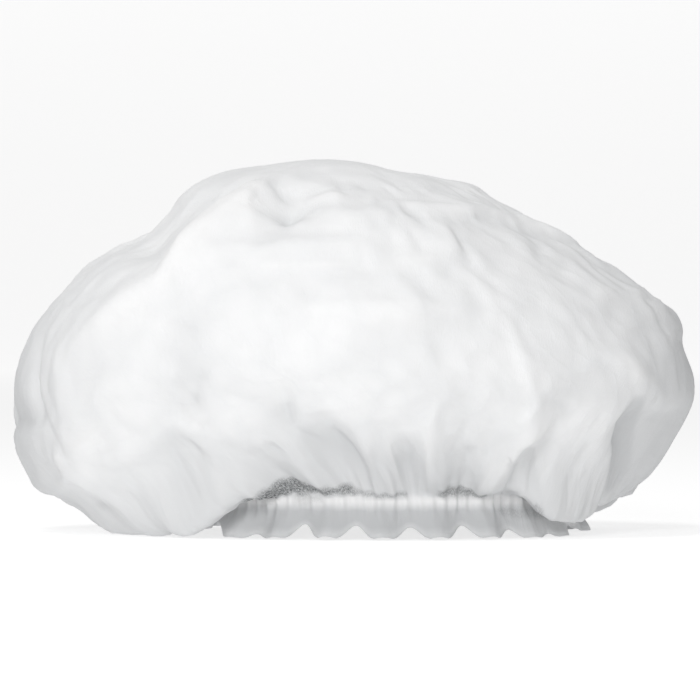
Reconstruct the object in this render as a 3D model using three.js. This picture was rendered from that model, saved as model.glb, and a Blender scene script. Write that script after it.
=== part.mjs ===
// A disposable hair cover cap: one round sheet of thin non-woven cloth, gathered near its edge by a narrow
// elastic, standing puffed up on a flat surface with its head opening down.
// Millimetres, +Z up. +X and -X are the cap's long way and -Y is its front. The origin is the middle of the
// cap's footprint, on the surface that it stands on.
import * as THREE from "three";

// Sizes of the whole cap.
const capWidth = 260;
const capDepth = 236;
const capHeight = 142;

// The cut sheet and the frill that hangs below the elastic.
const sheetDiameter = 533;
const sheetThickness = 1.2;
const frillHeight = 14;
const frillFlareWidth = 5;
const frillArchHeight = 9;
const frillRestHeight = 0.6;

// The relaxed elastic, and the sheet's edge that is turned in behind it.
const openingDiameter = 144;
const openingRightOffset = 12;
const openingFrontOffset = 16;
const elasticWidth = 4;
const elasticThickness = 1;
const neckHeight = 1;
const turnInThickness = 1;
const layerGap = 0.35;

// The gathers that the elastic draws the cloth into.
const gatherCount = 24;
const gatherTurn = -90;
const edgeGatherDepth = 4.2;
const elasticGatherDepth = 1.2;
const puffGatherDepth = 3;
const puffReachHeight = 9;
const puffEndHeight = 36;
const foldFadeLength = 10;

// How finely the sheet is divided: columns for each gather, and the length of cloth between two rings.
const hemColumns = 6 * gatherCount;
const sideColumns = hemColumns / 2;
const topColumns = sideColumns / 2;
const topShare = 0.19;
const sideShare = 0.88;
const topStepLength = 12;
const sideStepLength = 13.4;
const hemStepLength = 6.9;
const bendStepLength = 0.8;

// The crown from its middle to just above the elastic. along is the length of cloth from the middle, as a
// share of the length to the elastic. left, right, front and back are how far each profile reaches, as
// shares of half the width or depth, with a rise for each as a share of the height.
const sections = [
  [0.0, -0.08, 1.0, -0.08, 1.0, 0.0, 1.0, 0.0, 1.0],
  [0.1, -0.255, 0.98, 0.115, 0.982, -0.2, 0.985, 0.2, 0.985],
  [0.2, -0.455, 0.92, 0.31, 0.94, -0.39, 0.94, 0.39, 0.94],
  [0.31, -0.6, 0.79, 0.485, 0.86, -0.58, 0.87, 0.58, 0.87],
  [0.43, -0.8, 0.68, 0.68, 0.757, -0.77, 0.765, 0.77, 0.765],
  [0.55, -0.95, 0.51, 0.87, 0.64, -0.91, 0.625, 0.91, 0.625],
  [0.66, -1.0, 0.28, 0.975, 0.5, -0.985, 0.47, 0.99, 0.47],
  [0.74, -0.95, 0.16, 0.99, 0.365, -1.0, 0.385, 0.99, 0.335],
  [0.82, -0.885, 0.1, 0.905, 0.235, -0.975, 0.315, 0.9, 0.2],
  [0.88, -0.77, 0.078, 0.825, 0.148, -0.93, 0.26, 0.79, 0.12],
  [0.94, -0.63, 0.045, 0.75, 0.095, -0.85, 0.197, 0.64, 0.085],
].map(([along, left, leftRise, right, rightRise, front, frontRise, back, backRise]) => ({
  along, left, leftRise, right, rightRise, front, frontRise, back, backRise,
}));

// Soft lobes that swell or sag. turn is the direction from the middle, anticlockwise from the right, along
// is as above, spread is degrees round and reach is a share along. out and down are shares of the height.
const lobes = [
  { turn: 194, along: 0.925, spread: 26, reach: 0.045, out: 0, down: 0.095 },
  { turn: 226, along: 0.935, spread: 11, reach: 0.045, out: 0.03, down: 0.1 },
  { turn: 321, along: 0.935, spread: 15, reach: 0.045, out: 0.02, down: 0.09 },
  { turn: 45, along: 0.86, spread: 26, reach: 0.07, out: 0.014, down: 0.035 },
  { turn: 118, along: 0.84, spread: 30, reach: 0.07, out: 0.007, down: 0.048 },
];

// Where the gathers calm down, and how much of them is lost there.
const calmPlaces = [
  { turn: 229, spread: 17, lost: 0.8 },
  { turn: 322, spread: 24, lost: 0.75 },
];

// Where the frill's edge lifts off the surface, with the lift as a share of the frill's height.
const frillLifts = [
  { turn: 208, spread: 8, lift: 0.55 },
  { turn: 352, spread: 12, lift: 0.5 },
];

// Folds and dents in the crown. Each runs over the cloth between two places. width and lift are shares of
// the height, a lift below 0 is a valley, and lean from -1 to 1 makes one side steeper than the other.
const folds = [
  // The long diagonal ridge on the front, from near the top to the left side, and the dent beside it.
  { fromTurn: 248, fromAlong: 0.24, toTurn: 236, toAlong: 0.5, width: 0.08, lift: 0.05, lean: 0.3 },
  { fromTurn: 236, fromAlong: 0.5, toTurn: 214, toAlong: 0.62, width: 0.08, lift: 0.04, lean: 0.3 },
  { fromTurn: 259, fromAlong: 0.28, toTurn: 257, toAlong: 0.36, width: 0.07, lift: -0.055, lean: 0 },
  { fromTurn: 206, fromAlong: 0.33, toTurn: 230, toAlong: 0.43, width: 0.08, lift: -0.03, lean: 0 },
  // The pouch on the upper front, and the level folds under it.
  { fromTurn: 266, fromAlong: 0.36, toTurn: 294, toAlong: 0.37, width: 0.11, lift: 0.026, lean: 0 },
  { fromTurn: 253, fromAlong: 0.43, toTurn: 276, toAlong: 0.44, width: 0.06, lift: 0.028, lean: 0.3 },
  { fromTurn: 253, fromAlong: 0.485, toTurn: 278, toAlong: 0.495, width: 0.06, lift: -0.028, lean: 0 },
  { fromTurn: 289, fromAlong: 0.44, toTurn: 300, toAlong: 0.44, width: 0.06, lift: 0.02, lean: 0 },
  { fromTurn: 268, fromAlong: 0.57, toTurn: 290, toAlong: 0.57, width: 0.07, lift: 0.028, lean: 0 },
  // The upright pleats on the front, from the left to the right.
  { fromTurn: 242, fromAlong: 0.57, toTurn: 236, toAlong: 0.78, width: 0.09, lift: -0.034, lean: 0 },
  { fromTurn: 236, fromAlong: 0.78, toTurn: 226, toAlong: 0.93, width: 0.07, lift: -0.045, lean: 0 },
  { fromTurn: 259, fromAlong: 0.7, toTurn: 257, toAlong: 0.85, width: 0.06, lift: -0.03, lean: 0.3 },
  { fromTurn: 263, fromAlong: 0.79, toTurn: 265, toAlong: 0.95, width: 0.06, lift: -0.04, lean: 0 },
  { fromTurn: 272, fromAlong: 0.8, toTurn: 271, toAlong: 0.95, width: 0.055, lift: 0.032, lean: 0 },
  { fromTurn: 283, fromAlong: 0.76, toTurn: 285, toAlong: 0.95, width: 0.055, lift: 0.03, lean: 0 },
  { fromTurn: 300, fromAlong: 0.69, toTurn: 303, toAlong: 0.93, width: 0.07, lift: 0.045, lean: -0.4 },
  { fromTurn: 307, fromAlong: 0.74, toTurn: 308, toAlong: 0.94, width: 0.06, lift: -0.035, lean: 0 },
  // The right side: a ridge, the flap under it and the crest line behind the top.
  { fromTurn: 318, fromAlong: 0.66, toTurn: 330, toAlong: 0.71, width: 0.06, lift: 0.03, lean: 0 },
  { fromTurn: 327, fromAlong: 0.77, toTurn: 338, toAlong: 0.87, width: 0.08, lift: -0.05, lean: -0.4 },
  { fromTurn: 340, fromAlong: 0.6, toTurn: 358, toAlong: 0.61, width: 0.06, lift: 0.024, lean: 0 },
  { fromTurn: 291, fromAlong: 0.32, toTurn: 336, toAlong: 0.34, width: 0.06, lift: 0.026, lean: 0 },
  { fromTurn: 336, fromAlong: 0.34, toTurn: 352, toAlong: 0.46, width: 0.06, lift: 0.026, lean: 0 },
  // The left side: the groove round the silhouette, and short ridges on the lobe below it.
  { fromTurn: 176, fromAlong: 0.645, toTurn: 211, toAlong: 0.668, width: 0.05, lift: -0.036, lean: 0 },
  { fromTurn: 201, fromAlong: 0.56, toTurn: 204, toAlong: 0.64, width: 0.055, lift: -0.025, lean: 0 },
  { fromTurn: 221, fromAlong: 0.7, toTurn: 211, toAlong: 0.74, width: 0.06, lift: 0.03, lean: 0 },
  { fromTurn: 208, fromAlong: 0.81, toTurn: 212, toAlong: 0.9, width: 0.06, lift: 0.03, lean: 0 },
  // The back and the right end, in the same manner.
  { fromTurn: 352, fromAlong: 0.76, toTurn: 350, toAlong: 0.94, width: 0.065, lift: 0.035, lean: 0 },
  { fromTurn: 8, fromAlong: 0.66, toTurn: 5, toAlong: 0.93, width: 0.065, lift: -0.035, lean: 0 },
  { fromTurn: 22, fromAlong: 0.72, toTurn: 26, toAlong: 0.94, width: 0.07, lift: 0.036, lean: 0.3 },
  { fromTurn: 44, fromAlong: 0.62, toTurn: 40, toAlong: 0.93, width: 0.07, lift: -0.04, lean: 0 },
  { fromTurn: 62, fromAlong: 0.7, toTurn: 66, toAlong: 0.94, width: 0.065, lift: 0.038, lean: -0.3 },
  { fromTurn: 84, fromAlong: 0.74, toTurn: 82, toAlong: 0.95, width: 0.06, lift: -0.04, lean: 0 },
  { fromTurn: 101, fromAlong: 0.66, toTurn: 104, toAlong: 0.94, width: 0.07, lift: 0.036, lean: 0.3 },
  { fromTurn: 128, fromAlong: 0.7, toTurn: 131, toAlong: 0.94, width: 0.065, lift: -0.042, lean: 0 },
  { fromTurn: 150, fromAlong: 0.74, toTurn: 154, toAlong: 0.9, width: 0.06, lift: 0.032, lean: 0 },
  { fromTurn: 166, fromAlong: 0.62, toTurn: 140, toAlong: 0.6, width: 0.06, lift: -0.03, lean: 0 },
  { fromTurn: 60, fromAlong: 0.5, toTurn: 98, toAlong: 0.46, width: 0.07, lift: 0.03, lean: 0.3 },
  { fromTurn: 108, fromAlong: 0.4, toTurn: 140, toAlong: 0.5, width: 0.08, lift: -0.034, lean: 0 },
  { fromTurn: 24, fromAlong: 0.44, toTurn: 66, toAlong: 0.36, width: 0.075, lift: 0.03, lean: 0 },
  { fromTurn: 138, fromAlong: 0.27, toTurn: 166, toAlong: 0.44, width: 0.075, lift: 0.03, lean: 0 },
  // The top.
  { fromTurn: 330, fromAlong: 0.12, toTurn: 62, toAlong: 0.16, width: 0.085, lift: -0.02, lean: 0 },
  { fromTurn: 148, fromAlong: 0.14, toTurn: 204, toAlong: 0.2, width: 0.08, lift: 0.018, lean: 0 },
];

const sheetRadius = sheetDiameter / 2;
const crownLength = sheetRadius - frillHeight;
const elasticTop = crownLength - elasticWidth / 2;
const elasticBottom = crownLength + elasticWidth / 2;
const neckTop = elasticTop - neckHeight;
const openingRadius = openingDiameter / 2 + elasticThickness + layerGap + sheetThickness / 2;

const radians = THREE.MathUtils.degToRad;
const smooth = THREE.MathUtils.smoothstep;

// The sections as one table of lengths in millimetres. It runs on over the middle, so that the top is
// round, and ends at the neck above the elastic.
function sectionTable() {
  const body = sections.map((row) => [
    row.along * crownLength,
    (row.left * capWidth) / 2,
    row.leftRise * capHeight,
    (row.right * capWidth) / 2,
    row.rightRise * capHeight,
    (row.front * capDepth) / 2,
    row.frontRise * capHeight,
    (row.back * capDepth) / 2,
    row.backRise * capHeight,
  ]);
  const [along, left, leftRise, right, rightRise, front, frontRise, back, backRise] = body[1];
  const overMiddle = [-along, right, rightRise, left, leftRise, back, backRise, front, frontRise];
  const neckRise = frillHeight + elasticWidth / 2 + neckHeight;
  const neckLeft = openingRightOffset - openingRadius;
  const neckRight = openingRightOffset + openingRadius;
  const neckFront = -openingFrontOffset - openingRadius;
  const neckBack = -openingFrontOffset + openingRadius;
  const neck = [neckLeft, neckRight, neckFront, neckBack].flatMap((reach) => [reach, neckRise]);
  return [overMiddle, ...body, [neckTop, ...neck]];
}

const table = sectionTable();
const sectionAt = new THREE.CubicInterpolant(
  table.map((row) => row[0]),
  table.flatMap((row) => row.slice(1)),
  8,
);

// The sheet without folds or gathers. turn is a direction in degrees and along a length of cloth from the
// middle.
function plainPoint(turn, along) {
  const profiles = sectionAt.evaluate(Math.min(along, neckTop));
  const [left, leftRise, right, rightRise, front, frontRise, back, backRise] = profiles;
  const hanging = Math.max(0, along - neckTop);
  const flare = frillFlareWidth * Math.max(0, (along - elasticBottom) / (sheetRadius - elasticBottom));
  const cos = Math.cos(radians(turn));
  const sin = Math.sin(radians(turn));
  const sideRise = (leftRise + rightRise) / 2 + ((rightRise - leftRise) / 2) * cos;
  const deepRise = (frontRise + backRise) / 2 + ((backRise - frontRise) / 2) * sin;
  const rise = THREE.MathUtils.lerp(sideRise, deepRise, sin * sin);
  const point = new THREE.Vector3(
    (left + right) / 2 + ((right - left) / 2 + flare) * cos,
    (front + back) / 2 + ((back - front) / 2 + flare) * sin,
    rise - hanging,
  );
  for (const lobe of lobes) {
    const round = turnBetween(lobe.turn, turn) / lobe.spread;
    const away = (along / crownLength - lobe.along) / lobe.reach;
    const share = Math.exp(-round * round - away * away) * smooth(neckTop - along, 0, foldFadeLength);
    point.x += lobe.out * capHeight * share * cos;
    point.y += lobe.out * capHeight * share * sin;
    point.z -= lobe.down * capHeight * share;
  }
  return point;
}

// The shortest way round from one direction to another, from -180 to 180 degrees.
function turnBetween(from, to) {
  return THREE.MathUtils.euclideanModulo(to - from + 180, 360) - 180;
}

// The outward direction of a sheet, given as a function of turn and along.
function outward(sheet, turn, along, step) {
  const turnStep = THREE.MathUtils.radToDeg(step / openingRadius);
  const round = sheet(turn + turnStep, along).sub(sheet(turn - turnStep, along));
  const down = sheet(turn, along + step).sub(sheet(turn, along - step));
  return down.cross(round).normalize();
}

// Each fold's line over the plain sheet, as a few points with the direction of the line at each.
const foldLines = folds.map((fold) => {
  const pointCount = 9;
  const places = Array.from({ length: pointCount }, (_, index) => {
    const share = index / (pointCount - 1);
    const turn = fold.fromTurn + turnBetween(fold.fromTurn, fold.toTurn) * share;
    const along = THREE.MathUtils.lerp(fold.fromAlong, fold.toAlong, share) * crownLength;
    return { turn, along, point: plainPoint(turn, along) };
  });
  return { ...fold, places };
});

// How far the folds lift a point of the plain sheet along its outward direction.
function foldLift(point, normal) {
  let lift = 0;
  for (const fold of foldLines) {
    let nearest = Infinity;
    let place = 0;
    let side = 0;
    for (let index = 1; index < fold.places.length; index++) {
      const from = fold.places[index - 1].point;
      const stretch = fold.places[index].point.clone().sub(from);
      const away = point.clone().sub(from);
      const share = THREE.MathUtils.clamp(away.dot(stretch) / stretch.lengthSq(), 0, 1);
      away.addScaledVector(stretch, -share);
      if (away.length() < nearest) {
        nearest = away.length();
        place = (index - 1 + share) / (fold.places.length - 1);
        side = Math.sign(away.cross(stretch).dot(normal));
      }
    }
    const reach = nearest / (fold.width * capHeight * (1 + fold.lean * side));
    const fade = 0.4 + 0.6 * Math.sin(Math.PI * place);
    lift += fold.lift * capHeight * fade * Math.exp(-reach * reach);
  }
  return lift;
}

// The waves that the elastic draws into the sheet: their size at a length along, and how strong they are
// in a direction.
function gatherSize(along) {
  if (along > elasticBottom) {
    const share = (along - elasticBottom) / (sheetRadius - elasticBottom);
    return THREE.MathUtils.lerp(elasticGatherDepth, edgeGatherDepth, share);
  }
  const above = elasticTop - along;
  const swell = smooth(above, 0, puffReachHeight);
  const puffed = THREE.MathUtils.lerp(elasticGatherDepth, puffGatherDepth, swell);
  return puffed * (1 - smooth(above, puffReachHeight, puffEndHeight));
}

function gatherStrength(turn) {
  const uneven = 1 + 0.18 * Math.sin(radians(5 * turn)) + 0.14 * Math.cos(radians(3 * turn + 40));
  return calmPlaces.reduce((strength, place) => {
    const away = turnBetween(place.turn, turn) / place.spread;
    return strength * (1 - place.lost * Math.exp(-away * away));
  }, uneven);
}

// How far the frill's edge is off the surface in a direction.
function frillLift(turn) {
  const lifts = frillLifts.map((place) => {
    const away = turnBetween(place.turn, turn) / place.spread;
    return place.lift * frillHeight * Math.exp(-away * away);
  });
  return Math.max(...lifts);
}

// The whole sheet with its folds, gathers and arched frill, flattened where the crown rests.
function sheetPoint(turn, along) {
  const point = plainPoint(turn, along);
  const normal = outward(plainPoint, turn, along, 3 * bendStepLength);
  const wave = Math.cos(radians(gatherCount * (turn - gatherTurn)));
  const strength = gatherStrength(turn);
  const crownShare = smooth(neckTop - along, 0, foldFadeLength);
  const lift = gatherSize(along) * strength * wave + foldLift(point, normal) * crownShare;
  point.addScaledVector(normal, lift);
  if (along > elasticBottom) {
    const below = (along - elasticBottom) / (sheetRadius - elasticBottom);
    const arch = frillArchHeight * strength * ((1 - wave) / 2) ** 2 + frillLift(turn);
    point.z += below * Math.max(0, arch - frillRestHeight);
  } else {
    point.z = Math.max(0, point.z);
  }
  return point;
}

// A place on the sheet and the way inward from it. The way inward is longer at a bend, so that a layer
// laid along it keeps its thickness on both sides of the bend.
function sheetPlace(turn, along) {
  const point = sheetPoint(turn, along);
  const above = outward(sheetPoint, turn, along - bendStepLength, bendStepLength / 2);
  const below = outward(sheetPoint, turn, along + bendStepLength, bendStepLength / 2);
  const inward = above.clone().add(below).normalize();
  const mitre = Math.max(0.65, inward.dot(above));
  return { point, inward: inward.multiplyScalar(-1 / mitre) };
}

// Rings of places on the sheet, each with its own count of columns.
function ringAt(along, columns) {
  return Array.from({ length: columns }, (_, column) => sheetPlace((column / columns) * 360, along));
}

function ringSteps(from, to, step) {
  const count = Math.round((to - from) / step);
  return Array.from({ length: count }, (_, index) => from + ((to - from) * index) / count);
}

const topEnd = topShare * crownLength;
const sideEnd = sideShare * crownLength;
const crownRings = [
  ...ringSteps(0, topEnd, topStepLength).slice(1).map((along) => ringAt(along, topColumns)),
  ...ringSteps(topEnd, sideEnd, sideStepLength).map((along) => ringAt(along, sideColumns)),
  ...ringSteps(sideEnd, neckTop, hemStepLength).map((along) => ringAt(along, hemColumns)),
  ringAt(neckTop, hemColumns),
];
const hemRings = [
  ringAt(elasticTop, hemColumns),
  ringAt(elasticBottom, hemColumns),
  ringAt((elasticBottom + sheetRadius) / 2, hemColumns),
  ringAt(sheetRadius, hemColumns),
];

// One closed layer of the sheet between two depths below its outer face. A layer with a middle is closed
// there, and one without is a ring.
function layerMesh(name, rings, outerDepth, innerDepth, material, middle) {
  const positions = [];
  const triangles = [];
  const addVertex = (place, depth) => {
    const { x, y, z } = place.point.clone().addScaledVector(place.inward, depth);
    positions.push(x, y, Math.max(0, z));
    return positions.length / 3 - 1;
  };
  const sides = [outerDepth, innerDepth].map((depth) =>
    rings.map((ring) => ring.map((place) => addVertex(place, depth))),
  );
  const addTriangle = (a, b, c, facesIn) => triangles.push(...(facesIn ? [a, c, b] : [a, b, c]));
  const addStrip = (upper, lower, facesIn) => {
    const ratio = lower.length / upper.length;
    upper.forEach((corner, column) => {
      const next = upper[(column + 1) % upper.length];
      const below = lower[column * ratio];
      const beyond = lower[((column + 1) * ratio) % lower.length];
      if (ratio === 1) {
        addTriangle(corner, below, next, facesIn);
        addTriangle(next, below, beyond, facesIn);
      } else {
        const between = lower[column * ratio + 1];
        addTriangle(corner, below, between, facesIn);
        addTriangle(corner, between, next, facesIn);
        addTriangle(next, between, beyond, facesIn);
      }
    });
  };
  sides.forEach((side, facesIn) => {
    side.slice(1).forEach((ring, index) => addStrip(side[index], ring, facesIn));
    if (middle) {
      const centre = addVertex(middle, [outerDepth, innerDepth][facesIn]);
      side[0].forEach((corner, column) => {
        addTriangle(centre, corner, side[0][(column + 1) % side[0].length], facesIn);
      });
    }
  });
  addStrip(sides[0].at(-1), sides[1].at(-1), false);
  if (!middle) {
    addStrip(sides[1][0], sides[0][0], false);
  }
  const geometry = new THREE.BufferGeometry();
  geometry.setAttribute("position", new THREE.Float32BufferAttribute(positions, 3));
  geometry.setIndex(triangles);
  geometry.computeVertexNormals();
  const mesh = new THREE.Mesh(geometry, material);
  mesh.name = name;
  return mesh;
}

const cloth = { color: 0xf4f6f7, roughness: 0.9, metalness: 0 };
const band = { color: 0xeceae4, roughness: 0.7, metalness: 0 };
const elasticDepth = sheetThickness + layerGap;
const turnInDepth = elasticDepth + elasticThickness + layerGap;

const top = { point: plainPoint(0, 0), inward: new THREE.Vector3(0, 0, -1) };
const crown = layerMesh(
  "crown", [...crownRings, ...hemRings], 0, sheetThickness, new THREE.MeshStandardMaterial(cloth), top,
);
const elastic = layerMesh(
  "elastic_band", hemRings.slice(0, 2), elasticDepth, elasticDepth + elasticThickness,
  new THREE.MeshStandardMaterial(band),
);
const turnedHem = layerMesh(
  "turned_hem", hemRings, turnInDepth, turnInDepth + turnInThickness, new THREE.MeshStandardMaterial(cloth),
);

// The middle of the footprint goes to the origin.
const footprint = new THREE.Box3().setFromObject(crown).getCenter(new THREE.Vector3());
const cap = new THREE.Group();
for (const piece of [crown, turnedHem, elastic]) {
  piece.geometry.translate(-footprint.x, -footprint.y, 0);
  cap.add(piece);
}

export default cap;
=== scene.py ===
# A disposable hair cover cap, standing puffed up on its gathered edge.
# Metres, +Z up. The photograph looks along +Y, with +X to the right.
import math
from collections import namedtuple

import bmesh
import bpy
import numpy as np
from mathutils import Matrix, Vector, noise


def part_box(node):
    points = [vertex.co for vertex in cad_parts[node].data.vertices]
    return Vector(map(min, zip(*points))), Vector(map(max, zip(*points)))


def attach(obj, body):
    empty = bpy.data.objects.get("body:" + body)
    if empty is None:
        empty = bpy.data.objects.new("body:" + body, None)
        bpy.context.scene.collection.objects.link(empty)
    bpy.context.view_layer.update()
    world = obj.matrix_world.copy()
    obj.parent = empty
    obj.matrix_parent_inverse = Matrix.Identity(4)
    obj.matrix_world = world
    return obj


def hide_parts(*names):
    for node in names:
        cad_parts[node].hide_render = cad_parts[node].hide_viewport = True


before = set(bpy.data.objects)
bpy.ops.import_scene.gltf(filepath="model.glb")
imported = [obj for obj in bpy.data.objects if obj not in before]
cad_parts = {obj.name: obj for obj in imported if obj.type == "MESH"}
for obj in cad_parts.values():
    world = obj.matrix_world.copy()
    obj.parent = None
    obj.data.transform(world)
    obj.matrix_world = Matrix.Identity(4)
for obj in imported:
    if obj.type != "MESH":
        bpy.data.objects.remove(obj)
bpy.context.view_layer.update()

# Sizes of the whole cap.
CAP_WIDTH = 0.260
CAP_DEPTH = 0.236
CAP_HEIGHT = 0.142

# The cut sheet, the frill below the elastic and the relaxed elastic.
SHEET_RADIUS = 0.533 / 2
SHEET_THICKNESS = 0.00025
LOWEST = 0.00015
FRILL_HEIGHT = 0.014
FRILL_FLARE = 0.005
FRILL_ARCH = 0.0092
FRILL_REST = 0.0006
CROWN_LENGTH = SHEET_RADIUS - FRILL_HEIGHT
OPENING_RADIUS = 0.07395
OPENING_RIGHT = 0.012
OPENING_FRONT = 0.016
ELASTIC_WIDTH = 0.004
ELASTIC_THICKNESS = 0.0008
ELASTIC_TOP = CROWN_LENGTH - ELASTIC_WIDTH / 2
ELASTIC_BOTTOM = CROWN_LENGTH + ELASTIC_WIDTH / 2
NECK_TOP = ELASTIC_TOP - 0.001
LAYER_GAP = 0.00012

# The gathers.
GATHER_COUNT = 24
GATHER_TURN = -90
EDGE_GATHER = 0.0045
ELASTIC_GATHER = 0.0011
PUFF_GATHER = 0.003
PUFF_REACH = 0.009
PUFF_END = 0.036
FOLD_FADE = 0.010
BACK_GATHER_COUNT = 48
BACK_GATHER_DEPTH = 0.0036
BACK_GATHER_START = 0.160
FRILL_PLEAT_DEPTH = 0.0022
PLEAT_COUNT = 99
PLEAT_DEPTH = 0.0011
PLEAT_REACH = 0.009
PLEAT_FALL = 0.007

# How the photograph was framed: pixels across, and the object's size in one of them.
PHOTO_PIXELS = 700
PIXEL_SIZE = CAP_WIDTH / 681
CAMERA_DISTANCE = 2.4
CAMERA_ELEVATION = math.radians(0.4)
VIEW_CENTRE = Vector((-0.0006, -0.001, 0.0692))

# The crown's profiles, from its middle to just above the elastic, as in the solids. along is a share of
# the cloth's length to the elastic, and the others are shares of half the width or depth, and of the height.
Section = namedtuple("Section", "along left left_rise right right_rise front front_rise back back_rise")
SECTIONS = [
    Section(0.0, -0.08, 1.0, -0.08, 1.0, 0.0, 1.0, 0.0, 1.0),
    Section(0.1, -0.255, 0.98, 0.115, 0.982, -0.2, 0.985, 0.2, 0.985),
    Section(0.2, -0.455, 0.92, 0.31, 0.94, -0.39, 0.94, 0.39, 0.94),
    Section(0.31, -0.6, 0.79, 0.485, 0.86, -0.58, 0.87, 0.58, 0.87),
    Section(0.43, -0.8, 0.68, 0.68, 0.757, -0.77, 0.765, 0.77, 0.765),
    Section(0.55, -0.95, 0.51, 0.87, 0.64, -0.91, 0.625, 0.91, 0.625),
    Section(0.66, -1.0, 0.28, 0.975, 0.5, -0.985, 0.47, 0.99, 0.47),
    Section(0.74, -0.95, 0.16, 0.99, 0.365, -1.0, 0.385, 0.99, 0.335),
    Section(0.82, -0.885, 0.1, 0.905, 0.235, -0.975, 0.315, 0.9, 0.2),
    Section(0.88, -0.77, 0.078, 0.825, 0.148, -0.93, 0.26, 0.79, 0.12),
    Section(0.94, -0.63, 0.045, 0.75, 0.095, -0.85, 0.197, 0.64, 0.085),
]

# Soft lobes that swell or sag, with out and down as shares of the height.
Lobe = namedtuple("Lobe", "turn along spread reach out down")
LOBES = [
    Lobe(194, 0.925, 26, 0.045, 0.000, 0.095),
    Lobe(226, 0.935, 11, 0.045, 0.030, 0.100),
    Lobe(321, 0.935, 15, 0.045, 0.020, 0.090),
    Lobe(45, 0.860, 26, 0.070, 0.014, 0.035),
    Lobe(118, 0.840, 30, 0.070, 0.007, 0.048),
]

# Where the gathers calm down, and how much of them is lost there.
CalmPlace = namedtuple("CalmPlace", "turn spread lost")
CALM_PLACES = [CalmPlace(229, 17, 0.8), CalmPlace(322, 24, 0.75), CalmPlace(358, 13, 0.7)]

# Where the frill's edge lifts off the surface, as a share of the frill's height.
FrillLift = namedtuple("FrillLift", "turn spread lift")
FRILL_LIFTS = [FrillLift(208, 8, 0.55), FrillLift(352, 12, 0.5)]

# Folds and dents: a line over the cloth between two places, its width and lift as shares of the height,
# how far it leans to one side, and how soft its crest is, from 1 for a crease to 2 for a roll.
Fold = namedtuple("Fold", "from_turn from_along to_turn to_along width lift lean soft")
FOLDS = [
    # The long diagonal ridge on the front and the dent beside it.
    Fold(248, 0.24, 236, 0.50, 0.080, 0.050, 0.3, 1.4),
    Fold(236, 0.50, 214, 0.62, 0.080, 0.040, 0.3, 1.4),
    Fold(259, 0.28, 257, 0.36, 0.070, -0.030, 0.0, 2.0),
    Fold(206, 0.33, 230, 0.43, 0.080, -0.030, 0.0, 2.0),
    # The pouch on the upper front and the level folds under it.
    Fold(266, 0.36, 294, 0.37, 0.110, 0.026, 0.0, 2.0),
    Fold(253, 0.43, 276, 0.44, 0.060, 0.016, 0.3, 1.4),
    Fold(253, 0.485, 278, 0.495, 0.060, -0.012, 0.0, 1.6),
    Fold(289, 0.44, 300, 0.44, 0.060, 0.020, 0.0, 1.6),
    Fold(268, 0.57, 290, 0.57, 0.070, 0.028, 0.0, 1.5),
    # The upright pleats on the front, from the left to the right.
    Fold(242, 0.57, 236, 0.78, 0.090, -0.034, 0.0, 2.0),
    Fold(236, 0.78, 226, 0.93, 0.070, -0.045, 0.0, 1.8),
    Fold(259, 0.70, 257, 0.85, 0.060, -0.030, 0.3, 1.3),
    Fold(263, 0.79, 265, 0.95, 0.060, -0.040, 0.0, 1.5),
    Fold(272, 0.80, 271, 0.95, 0.055, 0.032, 0.0, 1.3),
    Fold(283, 0.76, 285, 0.95, 0.055, 0.030, 0.0, 1.3),
    Fold(300, 0.69, 303, 0.93, 0.070, 0.045, -0.4, 1.3),
    Fold(307, 0.74, 308, 0.94, 0.060, -0.035, 0.0, 1.6),
    # The right side: a ridge, the flap under it and the crest line behind the top.
    Fold(318, 0.66, 330, 0.71, 0.060, 0.030, 0.0, 1.4),
    Fold(327, 0.77, 338, 0.87, 0.080, -0.050, -0.4, 1.5),
    Fold(340, 0.60, 358, 0.61, 0.060, 0.024, 0.0, 1.5),
    Fold(291, 0.32, 336, 0.34, 0.060, 0.026, 0.0, 1.4),
    Fold(336, 0.34, 352, 0.46, 0.060, 0.026, 0.0, 1.4),
    # The left side: the groove round the silhouette and short ridges on the lobe below it.
    Fold(176, 0.645, 211, 0.668, 0.050, -0.036, 0.0, 1.5),
    Fold(201, 0.56, 204, 0.64, 0.055, -0.025, 0.0, 1.5),
    Fold(221, 0.70, 211, 0.74, 0.060, 0.030, 0.0, 1.3),
    Fold(208, 0.81, 212, 0.90, 0.060, 0.030, 0.0, 1.3),
    # The back and the right end.
    Fold(352, 0.76, 350, 0.94, 0.065, 0.035, 0.0, 1.4),
    Fold(8, 0.66, 5, 0.93, 0.065, -0.035, 0.0, 1.8),
    Fold(22, 0.72, 26, 0.94, 0.070, 0.036, 0.3, 1.4),
    Fold(44, 0.62, 40, 0.93, 0.070, -0.040, 0.0, 1.8),
    Fold(62, 0.70, 66, 0.94, 0.065, 0.038, -0.3, 1.4),
    Fold(84, 0.74, 82, 0.95, 0.060, -0.040, 0.0, 1.6),
    Fold(101, 0.66, 104, 0.94, 0.070, 0.036, 0.3, 1.4),
    Fold(128, 0.70, 131, 0.94, 0.065, -0.042, 0.0, 1.8),
    Fold(150, 0.74, 154, 0.90, 0.060, 0.032, 0.0, 1.4),
    Fold(166, 0.62, 140, 0.60, 0.060, -0.030, 0.0, 1.8),
    Fold(60, 0.50, 98, 0.46, 0.070, 0.030, 0.3, 1.4),
    Fold(108, 0.40, 140, 0.50, 0.080, -0.034, 0.0, 2.0),
    Fold(24, 0.44, 66, 0.36, 0.075, 0.030, 0.0, 1.5),
    Fold(138, 0.27, 166, 0.44, 0.075, 0.030, 0.0, 1.5),
    # The top.
    Fold(330, 0.12, 62, 0.16, 0.085, -0.020, 0.0, 2.0),
    Fold(148, 0.14, 204, 0.20, 0.080, 0.018, 0.0, 1.8),
]
FOLD_POINTS = 9

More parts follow.
